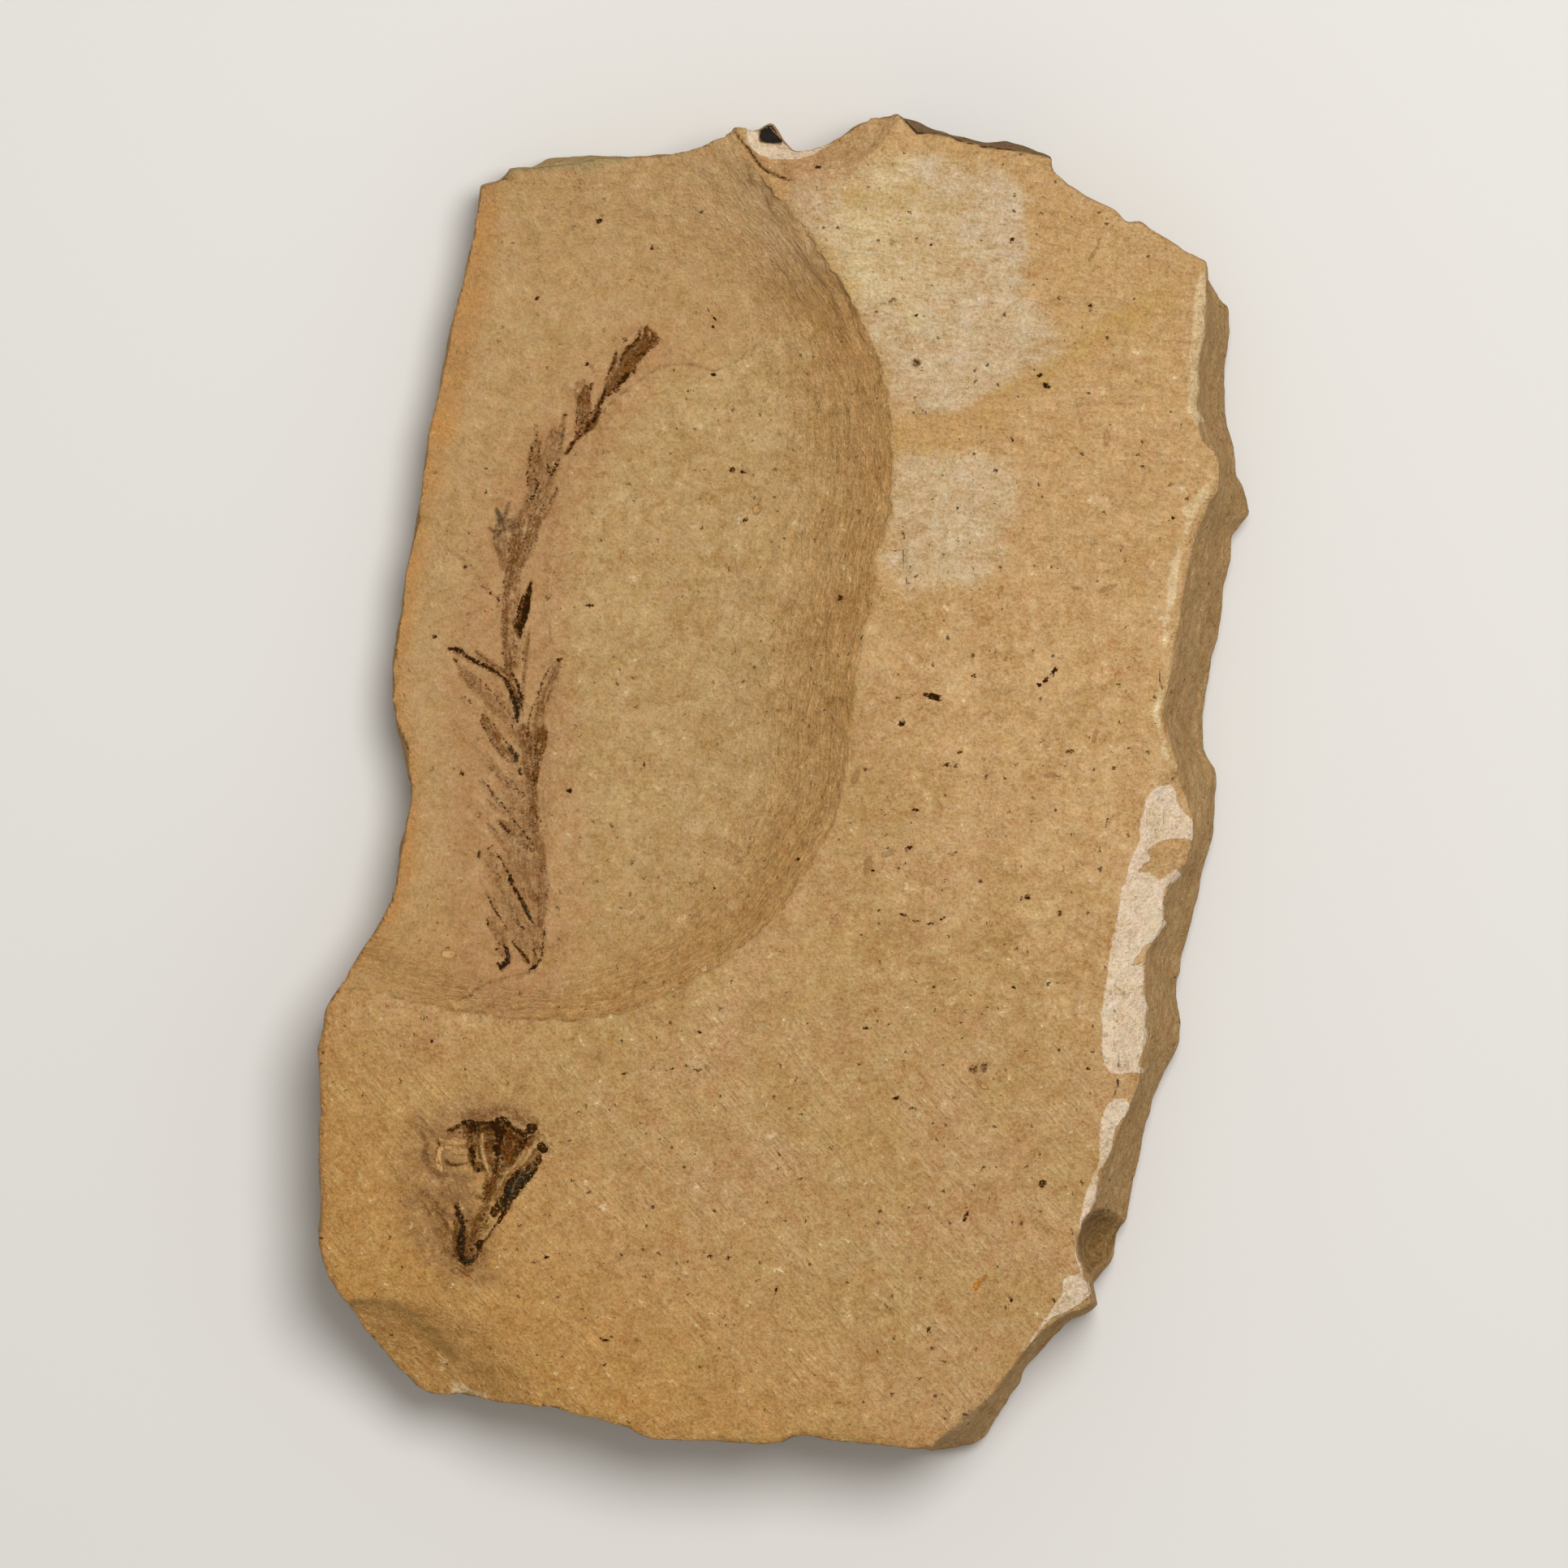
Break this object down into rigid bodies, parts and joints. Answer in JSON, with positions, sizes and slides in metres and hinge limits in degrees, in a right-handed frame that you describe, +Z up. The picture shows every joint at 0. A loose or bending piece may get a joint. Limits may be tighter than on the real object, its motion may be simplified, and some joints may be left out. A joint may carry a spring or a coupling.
{
  "type": "fossil dawn redwood plate",
  "caption": "Broken slab of tan siltstone lying flat, with a long hollow flake scar across its upper face and a pressed dawn redwood shoot in it.",
  "frame": {"origin": "middle of the slab's box, at its flat underside", "axes": "+Y along the slab's length towards the shoot's tip, +X to the bevelled edge, +Z up out of the fossil face"},
  "size_m": [0.115, 0.1652, 0.0195],
  "materials": {
    "siltstone": "matt, fine grained, tan with ochre and pale grey patches and scattered dark plant flecks",
    "carbon_film": "thin dark brown plant film pressed on the stone, satin where it is thickest"
  },
  "bodies": {
    "root": {"slab": "siltstone"}
  },
  "joints": []
}
